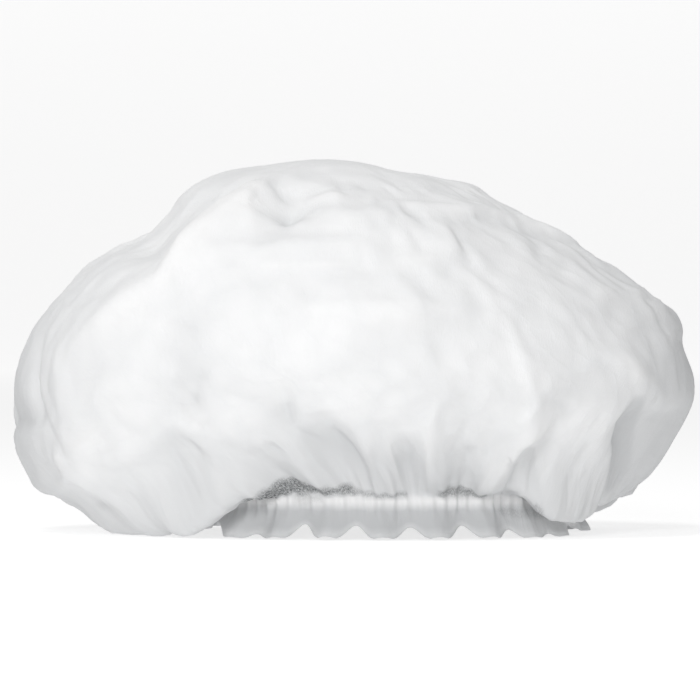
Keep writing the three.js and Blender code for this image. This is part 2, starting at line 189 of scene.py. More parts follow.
# Sharper and smaller creases, which the solids leave out.
CREASES = [
    # The crest of the diagonal ridge, the hook and the dents at its upper end.
    Fold(244, 0.22, 238, 0.36, 0.045, 0.018, 0, 1.1),
    Fold(238, 0.36, 237, 0.52, 0.04, 0.02, 0, 1.1),
    Fold(236, 0.53, 224, 0.59, 0.04, 0.012, 0, 1.2),
    Fold(244, 0.29, 252, 0.4, 0.03, 0.01, 0, 1.2),
    Fold(252, 0.256, 258, 0.288, 0.035, -0.018, 0, 1.3),
    Fold(257, 0.31, 259, 0.365, 0.028, -0.018, 0, 1.2),
    Fold(262, 0.284, 275, 0.292, 0.035, 0.014, 0, 1.1),
    # The pouch's edge and the soft marks under it.
    Fold(255, 0.476, 264, 0.482, 0.022, 0.013, 0, 1),
    Fold(264, 0.482, 273, 0.478, 0.022, 0.013, 0, 1),
    Fold(251, 0.424, 259, 0.416, 0.04, -0.01, 0, 1.3),
    Fold(240, 0.576, 246, 0.596, 0.03, -0.008, 0, 1.2),
    Fold(263, 0.532, 267, 0.56, 0.035, -0.008, 0, 1.2),
    Fold(273, 0.6, 279, 0.588, 0.025, 0.009, 0, 1),
    Fold(279, 0.588, 285, 0.592, 0.025, 0.009, 0, 1),
    Fold(283, 0.472, 291, 0.46, 0.025, 0.01, 0, 1.1),
    Fold(300, 0.376, 296, 0.46, 0.03, 0.01, 0, 1.1),
    # The line behind the top and the short strokes across it.
    Fold(290, 0.348, 298, 0.332, 0.025, -0.01, 0, 1.1),
    Fold(305, 0.364, 320, 0.344, 0.025, -0.012, 0, 1.1),
    Fold(319, 0.36, 338, 0.4, 0.028, -0.014, 0, 1.1),
    Fold(338, 0.4, 357, 0.46, 0.028, -0.014, 0, 1.1),
    Fold(330, 0.3, 318, 0.35, 0.022, -0.008, 0, 1.2),
    Fold(345, 0.296, 323, 0.36, 0.022, -0.008, 0, 1.2),
    Fold(332, 0.388, 318, 0.464, 0.025, -0.008, 0, 1.2),
    Fold(333, 0.432, 321, 0.496, 0.025, -0.008, 0, 1.2),
    # The right end.
    Fold(323, 0.552, 333, 0.536, 0.03, 0.01, 0, 1.1),
    Fold(348, 0.54, 334, 0.568, 0.03, 0.013, 0, 1.1),
    Fold(350, 0.576, 334, 0.6, 0.03, 0.013, 0, 1.1),
    Fold(357, 0.632, 336, 0.64, 0.03, 0.013, 0, 1.1),
    Fold(320, 0.672, 326, 0.708, 0.035, 0.014, 0, 1.1),
    Fold(325, 0.776, 331, 0.84, 0.03, -0.014, 0, 1.1),
    Fold(325, 0.776, 348, 0.782, 0.03, -0.012, 0, 1.1),
    # The vee and the diagonal pleat at the lower right.
    Fold(300, 0.724, 299, 0.764, 0.025, -0.012, 0, 1.1),
    Fold(300, 0.724, 310, 0.76, 0.03, -0.01, 0, 1.1),
    Fold(306, 0.79, 302, 0.836, 0.022, 0.017, 0, 1),
    Fold(302, 0.836, 299, 0.955, 0.024, 0.019, 0, 1),
    Fold(306, 0.844, 308, 0.97, 0.024, 0.014, 0, 1),
    Fold(304, 0.85, 304, 0.96, 0.03, -0.02, 0, 1.2),
    Fold(298, 0.872, 297, 0.975, 0.018, 0.016, 0, 1),
    # The upright pleats in the middle.
    Fold(284, 0.8, 283, 0.975, 0.018, 0.013, 0, 1),
    Fold(276, 0.85, 275, 0.98, 0.016, 0.015, 0, 1),
    Fold(273, 0.93, 273, 0.99, 0.014, 0.012, 0, 1),
    Fold(280, 0.872, 279, 0.956, 0.03, -0.013, 0, 1.2),
    Fold(292, 0.86, 293, 0.91, 0.025, -0.012, 0, 1.2),
    Fold(258, 0.768, 258, 0.84, 0.022, -0.015, 0.3, 1.1),
    Fold(258, 0.84, 262, 0.93, 0.025, -0.015, 0.3, 1.1),
    Fold(265, 0.876, 268, 0.96, 0.025, -0.017, 0, 1.1),
    Fold(273, 0.876, 270.5, 0.964, 0.022, -0.01, 0, 1.1),
    Fold(251, 0.88, 253, 0.904, 0.016, -0.012, 0, 1.2),
    Fold(237, 0.836, 237, 0.864, 0.016, -0.012, 0, 1.2),
    Fold(241, 0.716, 242, 0.732, 0.016, -0.01, 0, 1.2),
    # The left side and its lobe.
    Fold(223, 0.72, 213, 0.752, 0.025, 0.014, 0, 1),
    Fold(211, 0.744, 206, 0.756, 0.025, 0.011, 0, 1.1),
    Fold(216, 0.856, 219, 0.872, 0.02, 0.009, 0, 1.1),
    Fold(246, 0.648, 243, 0.712, 0.03, -0.01, 0, 1.2),
    Fold(239, 0.88, 233, 0.96, 0.02, 0.012, 0, 1),
    Fold(242, 0.904, 238, 0.98, 0.02, 0.01, 0, 1),
    Fold(214, 0.584, 212, 0.616, 0.03, 0.01, 0, 1.1),
    Fold(204, 0.592, 206, 0.648, 0.018, 0.011, 0, 1.1),
    Fold(201, 0.592, 204, 0.644, 0.02, -0.013, 0, 1.2),
    Fold(201, 0.872, 208, 0.876, 0.03, -0.013, 0, 1.2),
]

# Where the cloth is one layer with the hollow behind it, painted with the hollow's dark shade speckled through its
# open fibres. The widths at the two ends are shares of the height.
Window = namedtuple("Window", "from_turn from_along to_turn to_along from_width to_width strength")
SHADED_WINDOWS = [
    Window(236, 0.965, 262, 0.985, 0.042, 0.012, 1.0),
    Window(246, 0.995, 252, 0.998, 0.020, 0.010, 0.9),
    Window(262, 0.988, 276, 0.992, 0.010, 0.012, 0.7),
    Window(288, 0.985, 299, 0.990, 0.028, 0.018, 0.85),
    Window(312, 0.940, 316, 0.965, 0.014, 0.018, 0.45),
    Window(306, 1.015, 326, 1.020, 0.020, 0.020, 0.30),
]

# Places painted grey with shade, where the sheet hangs free in front of the hollow.
HANGING_SHADE_PLACES = [
    Window(327, 0.770, 338, 0.870, 0.070, 0.090, 0.75),
    Window(306, 0.860, 312, 0.990, 0.020, 0.075, 0.55),
    Window(232, 0.985, 250, 0.995, 0.060, 0.040, 0.45),
    Window(304, 0.980, 335, 0.985, 0.050, 0.040, 0.40),
]

# How strong the painted shade is low on the front, and at the two ends.
LOW_FRONT_SHADE = 0.55
ShadedEnd = namedtuple("ShadedEnd", "turn spread grey")
SHADED_ENDS = [ShadedEnd(184, 20, 0.60), ShadedEnd(2, 30, 0.85)]

# How the slack of the sheet settles: frames, the most that a place moves, the uneven start, how firmly each
# place is held and how stiff the cloth is. The shares say how much of the slack stays out of each part.
SETTLE_FRAMES = 24
SETTLE_MOST = 0.0065
SETTLE_START = 0.0012
SETTLE_HOLD = 0.2
SETTLE_BENDING = 0.05
SHEET_SLACK = 0.52
FRONT_TIGHT = 0.95
BACK_TIGHT = 0.72
LOW_SLACK = 0.30


def smooth(value, low, high):
    """0 below low, 1 above high and a soft step between."""
    share = np.clip((value - low) / (high - low), 0.0, 1.0)
    return share * share * (3 - 2 * share)


def turn_between(start, end):
    """The shortest way round from one direction to another, from -180 to 180 degrees."""
    return np.mod(end - start + 180.0, 360.0) - 180.0


def section_lengths():
    """The section table in metres, run on over the middle so that the top is round, down to the neck."""
    width, depth, height = CAP_WIDTH / 2, CAP_DEPTH / 2, CAP_HEIGHT
    rows = [
        [s.along * CROWN_LENGTH, s.left * width, s.left_rise * height, s.right * width, s.right_rise * height,
         s.front * depth, s.front_rise * height, s.back * depth, s.back_rise * height]
        for s in SECTIONS
    ]
    along, left, left_rise, right, right_rise, front, front_rise, back, back_rise = rows[1]
    over_middle = [-along, right, right_rise, left, left_rise, back, back_rise, front, front_rise]
    neck_rise = FRILL_HEIGHT + ELASTIC_WIDTH / 2 + 0.001
    at_neck = [NECK_TOP]
    for middle in (OPENING_RIGHT, -OPENING_FRONT):
        at_neck += [middle - OPENING_RADIUS, neck_rise, middle + OPENING_RADIUS, neck_rise]
    return np.array([over_middle, *rows, at_neck])


SECTION_TABLE = section_lengths()


def section_at(along):
    """The eight lengths of the section table at each length along, on smooth curves through its rows."""
    places, values = SECTION_TABLE[:, 0], SECTION_TABLE[:, 1:]
    slopes = np.empty_like(values)
    slopes[1:-1] = (values[2:] - values[:-2]) / (places[2:] - places[:-2])[:, None]
    slopes[0] = (values[1] - values[0]) / (places[1] - places[0])
    slopes[-1] = 1.5 * (values[-1] - values[-2]) / (places[-1] - places[-2]) - 0.5 * slopes[-2]
    row = np.clip(np.searchsorted(places, along, side="right") - 1, 0, len(places) - 2)
    span = (places[row + 1] - places[row])[:, None]
    share = ((along - places[row])[:, None]) / span
    square, cube = share**2, share**3
    return (
        (2 * cube - 3 * square + 1) * values[row]
        + (cube - 2 * square + share) * span * slopes[row]
        + (3 * square - 2 * cube) * values[row + 1]
        + (cube - square) * span * slopes[row + 1]
    ).T


def plain_sheet(turn, along):
    """The sheet without folds or gathers, at directions in degrees and lengths of cloth from the middle."""
    profiles = section_at(np.minimum(along, NECK_TOP))
    left, left_rise, right, right_rise, front, front_rise, back, back_rise = profiles
    hanging = np.maximum(0, along - NECK_TOP)
    flare = FRILL_FLARE * np.maximum(0, (along - ELASTIC_BOTTOM) / (SHEET_RADIUS - ELASTIC_BOTTOM))
    flare = flare * (1 - 1.8 * np.exp(-((turn_between(356, turn) / 16) ** 2)))
    cos, sin = np.cos(np.radians(turn)), np.sin(np.radians(turn))
    side_rise = (left_rise + right_rise) / 2 + (right_rise - left_rise) / 2 * cos
    deep_rise = (front_rise + back_rise) / 2 + (back_rise - front_rise) / 2 * sin
    rise = side_rise + (deep_rise - side_rise) * sin * sin
    x = (left + right) / 2 + ((right - left) / 2 + flare) * cos
    y = (front + back) / 2 + ((back - front) / 2 + flare) * sin
    z = rise - hanging
    for lobe in LOBES:
        round_share = turn_between(lobe.turn, turn) / lobe.spread
        away = (along / CROWN_LENGTH - lobe.along) / lobe.reach
        share = np.exp(-(round_share**2) - away**2) * smooth(NECK_TOP - along, 0, FOLD_FADE)
        x = x + lobe.out * CAP_HEIGHT * share * cos
        y = y + lobe.out * CAP_HEIGHT * share * sin
        z = z - lobe.down * CAP_HEIGHT * share
    return np.stack([x, y, z], axis=1)


def outward(sheet, turn, along, step):
    """The outward directions of a sheet, given as a function of turn and along."""
    turn_step = math.degrees(step / OPENING_RADIUS)
    along = np.maximum(along, 2 * step)
    across = sheet(turn + turn_step, along) - sheet(turn - turn_step, along)
    down = sheet(turn, along + step) - sheet(turn, along - step)
    normal = np.cross(down, across)
    return normal / np.linalg.norm(normal, axis=1)[:, None]


def line_over_sheet(mark):
    """The line between a mark's two places over the plain sheet, as a few points."""
    share = np.linspace(0, 1, FOLD_POINTS)
    turn = mark.from_turn + turn_between(mark.from_turn, mark.to_turn) * share
    along = (mark.from_along + (mark.to_along - mark.from_along) * share) * CROWN_LENGTH
    return plain_sheet(turn, along)


def from_line(points, normals, line):
    """How far points are from a line, how far along it the nearest place is, and on which side they are."""
    nearest = np.full(len(points), np.inf)
    place = np.zeros(len(points))
    side = np.zeros(len(points))
    for index in range(1, len(line)):
        stretch = line[index] - line[index - 1]
        away = points - line[index - 1]
        share = np.clip(away @ stretch / (stretch @ stretch), 0, 1)
        away = away - share[:, None] * stretch
        distance = np.linalg.norm(away, axis=1)
        closer = distance < nearest
        nearest = np.where(closer, distance, nearest)
        place = np.where(closer, (index - 1 + share) / (len(line) - 1), place)
        facing = np.sign(np.sum(np.cross(away, stretch) * normals, axis=1))
        side = np.where(closer, facing, side)
    return nearest, place, side


def fold_lift(points, normals, folds):
    """How far the folds lift each point of the plain sheet along its outward direction."""
    lift = np.zeros(len(points))
    for fold in folds:
        nearest, place, side = from_line(points, normals, line_over_sheet(fold))
        reach = nearest / (fold.width * CAP_HEIGHT * (1 + fold.lean * side))
        fade = 0.4 + 0.6 * np.sin(np.pi * place)
        lift += fold.lift * CAP_HEIGHT * fade * np.exp(-(reach**fold.soft))
    return lift


def gather_size(along):
    """The size of the elastic's waves at each length along."""
    below = (along - ELASTIC_BOTTOM) / (SHEET_RADIUS - ELASTIC_BOTTOM)
    above = ELASTIC_TOP - along
    swell = smooth(above, 0, PUFF_REACH)
    puffed = (ELASTIC_GATHER + (PUFF_GATHER - ELASTIC_GATHER) * swell) * (
        1 - smooth(above, PUFF_REACH, PUFF_END)
    )
    frill = ELASTIC_GATHER + (EDGE_GATHER - ELASTIC_GATHER) * below
    return np.where(along > ELASTIC_BOTTOM, frill, puffed)


def gather_strength(turn):
    """How strong the waves are in each direction."""
    strength = 1 + 0.18 * np.sin(np.radians(5 * turn)) + 0.14 * np.cos(np.radians(3 * turn + 40))
    for place in CALM_PLACES:
        away = turn_between(place.turn, turn) / place.spread
        strength = strength * (1 - place.lost * np.exp(-(away**2)))
    return strength


def frill_lift(turn):
    """How far the frill's edge is off the surface in each direction."""
    lifts = [
        place.lift * FRILL_HEIGHT * np.exp(-((turn_between(place.turn, turn) / place.spread) ** 2))
        for place in FRILL_LIFTS
    ]
    return np.max(lifts, axis=0)


def shaped_sheet(turn, along):
    """The whole sheet with its folds, gathers and arched frill, flattened where the crown rests."""
    points = plain_sheet(turn, along)
    normals = outward(plain_sheet, turn, along, 0.0024)
    wave = np.cos(np.radians(GATHER_COUNT * (turn - GATHER_TURN)))
    strength = gather_strength(turn)
    crown_share = smooth(NECK_TOP - along, 0, FOLD_FADE)
    lift = gather_size(along) * strength * wave + fold_lift(points, normals, FOLDS) * crown_share
    points = points + normals * lift[:, None]
    below = np.clip((along - ELASTIC_BOTTOM) / (SHEET_RADIUS - ELASTIC_BOTTOM), 0, None)
    arch = FRILL_ARCH * strength * ((1 - wave) / 2) ** 2 + frill_lift(turn)
    points[:, 2] += below * np.maximum(0, arch - FRILL_REST)
    crown = along <= ELASTIC_BOTTOM
    points[crown, 2] = np.maximum(0, points[crown, 2])
    return points


def footprint_shift():
    """How far the sheet moves so that it stands where the crown's solid does."""
    turn, along = np.meshgrid(np.arange(0, 360, 2.5), np.linspace(0.3, 1, 60) * CROWN_LENGTH)
    points = shaped_sheet(turn.ravel(), along.ravel())
    low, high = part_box("crown")
    middle = (points.min(0) + points.max(0)) / 2
    return np.array([(low.x + high.x) / 2 - middle[0], (low.y + high.y) / 2 - middle[1], 0])


FOOTPRINT_SHIFT = footprint_shift()


def flat_disc(name, bands):
    """The sheet as it is cut: rings of cloth spun round the middle, one band for each count of columns."""
    flat = bmesh.new()
    for radii, columns in bands:
        line = [flat.verts.new((radius, 0, 0)) for radius in radii]
        edges = [flat.edges.new(pair) for pair in zip(line[:-1], line[1:])]
        bmesh.ops.spin(
            flat, geom=line + edges, cent=(0, 0, 0), axis=(0, 0, 1), angle=math.tau,
            steps=columns, use_merge=True,
        )
    bmesh.ops.remove_doubles(flat, verts=flat.verts[:], dist=1e-6)
    for (inner, _), (outer, _) in zip(bands[:-1], bands[1:]):
        loops = [edge for edge in flat.edges if is_ring_edge(edge, inner[-1]) or is_ring_edge(edge, outer[0])]
        bmesh.ops.bridge_loops(flat, edges=loops)
    bmesh.ops.recalc_face_normals(flat, faces=flat.faces[:])
    if sum(face.normal.z for face in flat.faces) < 0:
        bmesh.ops.reverse_faces(flat, faces=flat.faces[:])
    cut = flat.loops.layers.uv.new("cut")
    for face in flat.faces:
        face.smooth = True
        for loop in face.loops:
            loop[cut].uv = (loop.vert.co.x, loop.vert.co.y)
    mesh = bpy.data.meshes.new(name)
    flat.to_mesh(mesh)
    flat.free()
    piece = bpy.data.objects.new(name, mesh)
    bpy.context.collection.objects.link(piece)
    return piece


def is_ring_edge(edge, radius):
    """Whether an open edge of the flat sheet lies on a ring."""
    return edge.is_boundary and all(abs(vert.co.length - radius) < 1e-5 for vert in edge.verts)


def read_points(mesh):
    points = np.empty(len(mesh.vertices) * 3)
    mesh.vertices.foreach_get("co", points)
    return points.reshape(-1, 3)


def write_points(mesh, points):
    mesh.vertices.foreach_set("co", points.ravel())
    mesh.update()


def cut_places(mesh):
    """The direction and the length along of each vertex, from its place in the cut sheet."""
    uv = np.empty(len(mesh.loops) * 2)
    mesh.uv_layers["cut"].data.foreach_get("uv", uv)
    vertex = np.empty(len(mesh.loops), dtype=int)
    mesh.loops.foreach_get("vertex_index", vertex)
    flat = np.zeros((len(mesh.vertices), 2))
    flat[vertex] = uv.reshape(-1, 2)
    return np.degrees(np.arctan2(flat[:, 1], flat[:, 0])), np.hypot(flat[:, 0], flat[:, 1])


def divide(piece):
    """One smooth subdivision of a piece, applied."""
    smoother = piece.modifiers.new("finer_cloth", "SUBSURF")
    smoother.levels = smoother.render_levels = 1
    smoother.uv_smooth = "NONE"
    graph = bpy.context.evaluated_depsgraph_get()
    finished = bpy.data.meshes.new_from_object(
        piece.evaluated_get(graph), preserve_all_data_layers=True, depsgraph=graph
    )
    piece.modifiers.clear()
    piece.data = finished


def ring_radii(start, end, step):
    count = max(1, round((end - start) / step))
    return [start + (end - start) * index / count for index in range(count + 1)]


def crown_sheet():
    """The crown and its frill: the cut disc drawn up over the head space and gathered by the elastic."""
    near_elastic = [0.2300, 0.2345, 0.2385, 0.2420, 0.2455, NECK_TOP, CROWN_LENGTH, ELASTIC_BOTTOM]
    frill = [0.2585, 0.2625, SHEET_RADIUS]
    bands = [
        ([0, 0.006, 0.012, 0.018, 0.024], 50),
        ([0.030, 0.037, 0.044, 0.051, 0.058], 99),
        (ring_radii(0.064, 0.218, 0.0049), 198),
        ([0.2245, *near_elastic, *frill], 396),
    ]
    piece = flat_disc("crown_sheet", bands)
    turn, along = cut_places(piece.data)
    write_points(piece.data, shaped_sheet(turn, along) + FOOTPRINT_SHIFT)
    settle(piece, turn, along)
    divide(piece)
    crease(piece)
    wall = piece.modifiers.new("cloth_thickness", "SOLIDIFY")
    wall.thickness = SHEET_THICKNESS
    wall.offset = -1
    wall.use_even_offset = False
    return piece


def in_front(turn):
    """1 on the half of the sheet that faces the camera, with a soft step to 0 on the back."""
    return 1 - smooth(np.sin(np.radians(turn)), 0.05, 0.45)


def settle(piece, turn, along):
    """Lets the gathered sheet's slack buckle into wrinkles, calm on the front and deep near the elastic."""
    front = np.maximum(in_front(turn), 1 - smooth(along, 0.05, 0.12))
    low = smooth(along, 0.62 * CROWN_LENGTH, 0.92 * CROWN_LENGTH)
    tight = np.clip(FRONT_TIGHT * front + BACK_TIGHT * (1 - front) - LOW_SLACK * low * (1 - front), 0, 1)
    at_elastic = np.exp(-(((along - CROWN_LENGTH) / 0.0035) ** 2))
    calm = front * smooth(along, CROWN_LENGTH - 0.045, CROWN_LENGTH - 0.012)
    hold = np.maximum(np.maximum(SETTLE_HOLD, at_elastic), calm)
    held = piece.vertex_groups.new(name="held")
    tight_cloth = piece.vertex_groups.new(name="tight")
    for index in range(len(turn)):
        held.add([index], float(hold[index]), "REPLACE")
        tight_cloth.add([index], float(tight[index]), "REPLACE")
    before = read_points(piece.data)
    normals = vertex_normals(piece.data)
    uneven = SETTLE_START * (1 - 0.8 * front) * creased_noise(turn, along, 0.030, 5.5)
    start = before + normals * uneven[:, None]
    write_points(piece.data, start)
    cloth = piece.modifiers.new("settling", "CLOTH")
    settings = cloth.settings
    settings.quality = 6
    settings.mass = 0.003
    settings.tension_stiffness = settings.compression_stiffness = 12
    settings.shear_stiffness = 6
    settings.bending_stiffness = SETTLE_BENDING
    settings.tension_damping = settings.compression_damping = settings.shear_damping = 2
    settings.bending_damping = 0.5
    settings.air_damping = 1
    settings.vertex_group_mass = "held"
    settings.pin_stiffness = 1
    settings.vertex_group_shrink = "tight"
    settings.shrink_min = -SHEET_SLACK
    settings.shrink_max = 0
    settings.effector_weights.gravity = 0
    cloth.collision_settings.use_collision = False
    cloth.collision_settings.use_self_collision = False
    cloth.point_cache.frame_start = 1
    cloth.point_cache.frame_end = SETTLE_FRAMES
    for frame_number in range(1, SETTLE_FRAMES + 1):
        bpy.context.scene.frame_set(frame_number)
    graph = bpy.context.evaluated_depsgraph_get()
    settled = read_points(piece.evaluated_get(graph).data)
    piece.modifiers.clear()
    piece.vertex_groups.clear()
    bpy.context.scene.frame_set(1)
    moved = settled - before
    distance = np.linalg.norm(moved, axis=1)[:, None]
    moved *= np.minimum(1, SETTLE_MOST / np.maximum(distance, 1e-9))
    moved *= smooth(along, 0.012, 0.050)[:, None]
    points = before + moved
    points[:, 2] = np.maximum(points[:, 2], LOWEST)
    write_points(piece.data, points)


def vertex_normals(mesh):
    normals = np.empty(len(mesh.vertices) * 3)
    mesh.vertices.foreach_get("normal", normals)
    return normals.reshape(-1, 3)


def creased_noise(turn, along, cell, seed):
    """Facets between sharp creases over the cut sheet, each point from about -0.5 to 0.5."""
    x, y = along * np.cos(np.radians(turn)), along * np.sin(np.radians(turn))
    values = np.empty(len(x))
    for index, (across, down) in enumerate(zip(x, y)):
        place = Vector((across / cell, down / cell, seed))
        place += 0.55 * noise.noise_vector(place * 0.8)
        nearest = noise.voronoi(place)[0]
        values[index] = nearest[0] - 0.5
    return values


def soft_noise(turn, along, cell, seed):
    x, y = along * np.cos(np.radians(turn)), along * np.sin(np.radians(turn))
    return np.array([noise.noise(Vector((a / cell, b / cell, seed))) for a, b in zip(x, y)])


def crease(piece):
    """Small creases and the fine pleats along the elastic, at the finished mesh's detail."""
    mesh = piece.data
    turn, along = cut_places(mesh)
    normals = vertex_normals(mesh)
    points = read_points(mesh)
    crown_share = 1 - smooth(along, CROWN_LENGTH - 0.030, CROWN_LENGTH - 0.008)
    patchy = smooth(soft_noise(turn, along, 0.050, 7.1), -0.25, 0.35)
    lift = 0.0016 * creased_noise(turn, along, 0.026, 1.7) * crown_share * (0.4 + 0.6 * patchy)
    lift += 0.0007 * creased_noise(turn, along, 0.011, 4.2) * crown_share * patchy
    wander = soft_noise(turn, along * 0 + 0.08, 0.012, 3.3)
    uneven = 0.75 + 0.9 * soft_noise(turn, along * 0 + 0.08, 0.018, 9.9)
    from_elastic = along - CROWN_LENGTH
    fade = np.where(from_elastic < 0, np.exp(from_elastic / PLEAT_REACH), 1 - from_elastic / PLEAT_FALL)
    pleat = np.cos(np.radians(PLEAT_COUNT * turn) + 3.0 * wander)
    lift += PLEAT_DEPTH * (1 + pleat) * uneven * np.clip(fade, 0, 1)
    drift = soft_noise(turn, along * 0 + 0.08, 0.022, 5.8) + 0.5 * soft_noise(turn, along, 0.045, 2.2)
    gather = np.cos(np.radians(BACK_GATHER_COUNT * turn) + 4.0 * drift)
    gathered = smooth(along, BACK_GATHER_START, BACK_GATHER_START + 0.045)
    gathered *= 1 - smooth(along, NECK_TOP - 0.010, NECK_TOP + 0.001)
    lift += BACK_GATHER_DEPTH * gather * gathered * (1 - in_front(turn)) * (0.8 + 0.5 * uneven)
    frill_share = smooth(along, ELASTIC_BOTTOM, SHEET_RADIUS)
    lift += FRILL_PLEAT_DEPTH * pleat * frill_share * (1 - in_front(turn))
    plain = plain_sheet(turn, along)
    lift += fold_lift(plain, outward(plain_sheet, turn, along, 0.0024), CREASES)
    lift *= smooth(along, 0.004, 0.022)
    points += normals * lift[:, None]
    points[:, 2] = np.maximum(points[:, 2], LOWEST)
    write_points(mesh, points)
    mark_cloth(mesh, turn, along)


def marked(points, normals, windows):
    """How strongly a table of windows marks each point, from 0 to 1."""
    mark = np.zeros(len(points))
    for shaded_window in windows:
        nearest, place, _ = from_line(points, normals, line_over_sheet(shaded_window))
        width = (shaded_window.from_width + (shaded_window.to_width - shaded_window.from_width) * place) * CAP_HEIGHT
        mark = np.maximum(mark, shaded_window.strength * (1 - smooth(nearest, 0.6 * width, 1.15 * width)))
    return mark


def mark_cloth(mesh, turn, along):
    """What the cloth's material reads at each vertex: painted highlight on ridges and along the elastic, painted shade
    in creases, painted grey shade where the cloth hangs in front of the hollow, at the ends and in the frill, and the
    hollow's painted shade through open windows.
    """
    points = plain_sheet(turn, along)
    normals = outward(plain_sheet, turn, along, 0.0024)
    # Painted highlight on ridges and painted shade in creases, from the lifts of the creases and, more weakly, the
    # folds.
    relief_shading = fold_lift(points, normals, CREASES) / (0.012 * CAP_HEIGHT)
    relief_shading += 0.4 * fold_lift(points, normals, FOLDS) / (0.03 * CAP_HEIGHT)
    frill = smooth(along, CROWN_LENGTH, CROWN_LENGTH + 0.004)
    folded_edge = 0.45 * smooth(along, SHEET_RADIUS - 0.0035, SHEET_RADIUS - 0.001)
    # Painted shade low on the front and at the two ends.
    front_and_end_shade = LOW_FRONT_SHADE * in_front(turn) * smooth(along, 0.76 * CROWN_LENGTH, 0.97 * CROWN_LENGTH)
    for place in SHADED_ENDS:
        away = turn_between(place.turn, turn) / place.spread
        reach = smooth(along, 0.40 * CROWN_LENGTH, 0.66 * CROWN_LENGTH)
        front_and_end_shade = np.maximum(front_and_end_shade, place.grey * np.exp(-(away**2)) * reach)
    # A painted highlight along the elastic line, which also clears the painted shade and the windows there.
    elastic_line_highlight = 1.4 * np.exp(-(((along - CROWN_LENGTH) / 0.0022) ** 2))
    # Painted shade where the sheet hangs in front of the hollow.
    free = np.maximum(front_and_end_shade, marked(points, normals, HANGING_SHADE_PLACES))
    # The frill gets painted grey shade, less at its folded edge, and a painted light beside the two lobes lifts it
    # where the lobes shade the frill.
    painted_light_beside_lobes = np.exp(-((turn_between(206, turn) / 16) ** 2)) + np.exp(-((turn_between(338, turn) / 20) ** 2))
    frill_shade = frill * (1 - folded_edge) * (1 - 0.9 * painted_light_beside_lobes)
    grey = np.maximum(frill_shade, free * (1 - np.clip(elastic_line_highlight, 0, 1)))
    # The hollow's painted shade, seen through the open windows and cleared along the elastic line.
    shaded_window = marked(points, normals, SHADED_WINDOWS) * (1 - 0.8 * np.clip(elastic_line_highlight, 0, 1))
    marks = (("relief_shading", relief_shading * (1 - frill) + elastic_line_highlight), ("grey", grey), ("shaded_window", shaded_window))
    for name, values in marks:
        layer = mesh.attributes.new(name, "FLOAT", "POINT")
        layer.data.foreach_set("value", np.ascontiguousarray(values, dtype=np.float32))


def layer_in(turn, along, depth):
    """The sheet moved in by a depth, for what lies behind it."""
    inward = outward(shaped_sheet, turn, along, 0.0008)
    return shaped_sheet(turn, along) - inward * np.reshape(depth, (-1, 1)) + FOOTPRINT_SHIFT


def turned_hem():
    """The sheet's edge, turned in at the bottom of the frill and up behind the elastic."""
    radii = [ELASTIC_TOP, CROWN_LENGTH, ELASTIC_BOTTOM, 0.2573, 0.2603, 0.2634, SHEET_RADIUS - 0.0002]
    piece = flat_disc("turned_hem_sheet", [(radii, 528)])
    turn, along = cut_places(piece.data)
    behind_elastic = SHEET_THICKNESS + 2 * LAYER_GAP + ELASTIC_THICKNESS
    behind_crown = SHEET_THICKNESS + LAYER_GAP
    depth = behind_elastic + (behind_crown - behind_elastic) * smooth(along, ELASTIC_BOTTOM, SHEET_RADIUS)
    points = layer_in(turn, along, depth)
    points[:, 2] = np.maximum(points[:, 2], 2 * LOWEST)
    write_points(piece.data, points)
    wall = piece.modifiers.new("cloth_thickness", "SOLIDIFY")
    wall.thickness = SHEET_THICKNESS
    wall.offset = -1
    return piece


def elastic_ring():
    """The flat elastic between the two layers."""
    piece = flat_disc("elastic_ring", [([ELASTIC_TOP, CROWN_LENGTH, ELASTIC_BOTTOM], 528)])
    turn, along = cut_places(piece.data)
    write_points(piece.data, layer_in(turn, along, SHEET_THICKNESS + LAYER_GAP))
    wall = piece.modifiers.new("elastic_thickness", "SOLIDIFY")
    wall.thickness = ELASTIC_THICKNESS
    wall.offset = -1
    return piece


def new_material(name):
    material = bpy.data.materials.new(name)
    material.use_nodes = True
    nodes = material.node_tree.nodes
    return material, nodes, material.node_tree.links, nodes["Principled BSDF"]


def new_group(name, inputs, outputs):
    """An empty node group with vector inputs and the outputs' kinds."""
    group = bpy.data.node_groups.new(name, "ShaderNodeTree")
    for label in inputs:
        group.interface.new_socket(label, in_out="INPUT", socket_type="NodeSocketVector")
    for label, kind in outputs.items():
        group.interface.new_socket(label, in_out="OUTPUT", socket_type="NodeSocket" + kind)
    return group, group.nodes.new("NodeGroupInput"), group.nodes.new("NodeGroupOutput")


def add_math(tree, operation, first, second):
    node = tree.nodes.new("ShaderNodeMath")
    node.operation = operation
    for socket, value in zip(node.inputs, (first, second)):
        if isinstance(value, bpy.types.NodeSocket):
            tree.links.new(value, socket)
        else:
            socket.default_value = value
    return node.outputs["Value"]


def add_noise(tree, vector, scale, detail, roughness=0.5, distortion=0.0):
    node = tree.nodes.new("ShaderNodeTexNoise")
    node.inputs["Scale"].default_value = scale
    node.inputs["Detail"].default_value = detail
    node.inputs["Roughness"].default_value = roughness
    node.inputs["Distortion"].default_value = distortion
    tree.links.new(vector, node.inputs["Vector"])
    return node.outputs["Fac"]


def add_range(tree, value, low, high, to_low=0.0, to_high=1.0):
    node = tree.nodes.new("ShaderNodeMapRange")
    tree.links.new(value, node.inputs["Value"])
    node.inputs["From Min"].default_value = low
    node.inputs["From Max"].default_value = high
    node.inputs["To Min"].default_value = to_low
    node.inputs["To Max"].default_value = to_high
    return node.outputs["Result"]


